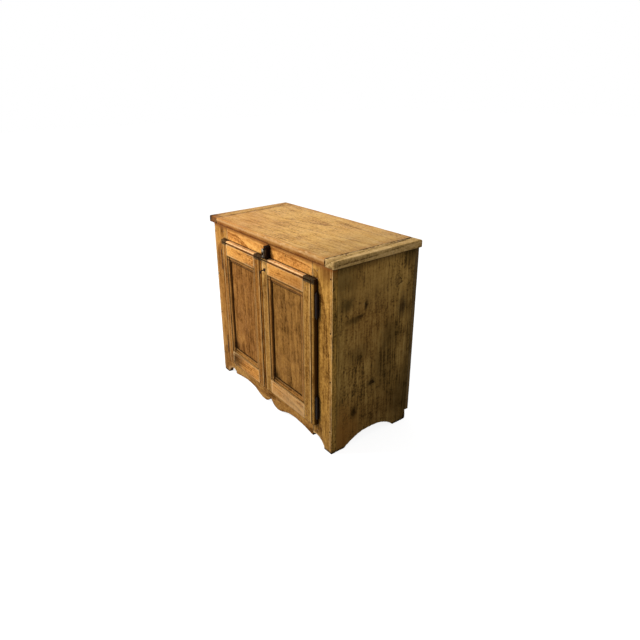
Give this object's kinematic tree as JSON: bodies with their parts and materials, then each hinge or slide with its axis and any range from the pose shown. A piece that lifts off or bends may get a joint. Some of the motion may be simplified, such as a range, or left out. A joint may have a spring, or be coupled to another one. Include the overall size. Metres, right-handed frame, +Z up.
{
  "type": "sideboard",
  "caption": "Low rustic pine sideboard with panelled doors on barrel hinges, a wooden turn button, a scalloped apron and a top with clamped ends.",
  "frame": {"origin": "on the floor, under the middle of the box around the whole sideboard", "axes": "+X to the right as seen from the front, +Y to the back, +Z up"},
  "size_m": [0.955, 0.4956, 0.84],
  "materials": {
    "top_pine": "waxed",
    "worn_pine": "worn bare",
    "front_pine": "waxed",
    "panel_pine": "waxed",
    "dark_pine": "dull",
    "inner_pine": "dull",
    "wrought_iron": "rusty black",
    "bright_steel": "rubbed bright"
  },
  "bodies": {
    "case": {"back_board_1": "dark_pine", "back_board_2": "dark_pine", "back_board_3": "dark_pine", "back_board_4": "dark_pine", "back_top_rail": "dark_pine", "bottom_board": "inner_pine", "bottom_cleat_left": "inner_pine", "bottom_cleat_right": "inner_pine", "case_nails": "wrought_iron", "frame_pegs": "front_pine", "front_apron": "front_pine", "front_stile_left": "front_pine", "front_stile_right": "front_pine", "front_top_rail": "front_pine", "latch_block": "front_pine", "latch_screw": "bright_steel", "left_lower_hinge_frame_leaf": "wrought_iron", "left_lower_hinge_pin": "wrought_iron", "left_upper_hinge_frame_leaf": "wrought_iron", "left_upper_hinge_pin": "wrought_iron", "right_lower_hinge_frame_leaf": "wrought_iron", "right_lower_hinge_pin": "wrought_iron", "right_upper_hinge_frame_leaf": "wrought_iron", "right_upper_hinge_pin": "wrought_iron", "shelf_board": "inner_pine", "shelf_cleat_left": "inner_pine", "shelf_cleat_right": "inner_pine", "side_panel_left": "dark_pine", "side_panel_right": "dark_pine", "top_board": "top_pine", "top_cleat_left": "worn_pine", "top_cleat_right": "worn_pine", "top_pegs": "top_pine"},
    "left_door": {"left_door_bottom_rail": "front_pine", "left_door_hinge_stile": "front_pine", "left_door_meeting_stile": "front_pine", "left_door_moulding_bottom": "front_pine", "left_door_moulding_hinge": "front_pine", "left_door_moulding_meeting": "front_pine", "left_door_moulding_top": "front_pine", "left_door_panel": "panel_pine", "left_door_pegs": "front_pine", "left_door_top_rail": "front_pine", "left_upper_hinge_door_leaf": "wrought_iron", "left_lower_hinge_door_leaf": "wrought_iron"},
    "right_door": {"right_door_bottom_rail": "front_pine", "right_door_hinge_stile": "front_pine", "right_door_meeting_stile": "front_pine", "right_door_moulding_bottom": "front_pine", "right_door_moulding_hinge": "front_pine", "right_door_moulding_meeting": "front_pine", "right_door_moulding_top": "front_pine", "right_door_panel": "panel_pine", "right_door_pegs": "front_pine", "right_door_top_rail": "front_pine", "right_upper_hinge_door_leaf": "wrought_iron", "right_lower_hinge_door_leaf": "wrought_iron", "door_pull": "wrought_iron"},
    "turn_button": {"turn_button": "front_pine"}
  },
  "joints": [
    {"name": "right_door_hinge", "type": "hinge", "parent": "case", "child": "right_door", "pos_m": [0.3832, -0.2152, 0.4145], "axis": [0, 0, 1], "range_deg": [0, 170]},
    {"name": "left_door_hinge", "type": "hinge", "parent": "case", "child": "left_door", "pos_m": [-0.3572, -0.2152, 0.4145], "axis": [0, 0, -1], "range_deg": [0, 170]},
    {"name": "turn_button_pivot", "type": "hinge", "parent": "case", "child": "turn_button", "pos_m": [0.046, -0.227, 0.7615], "axis": [0, 1, 0], "continuous": true}
  ]
}
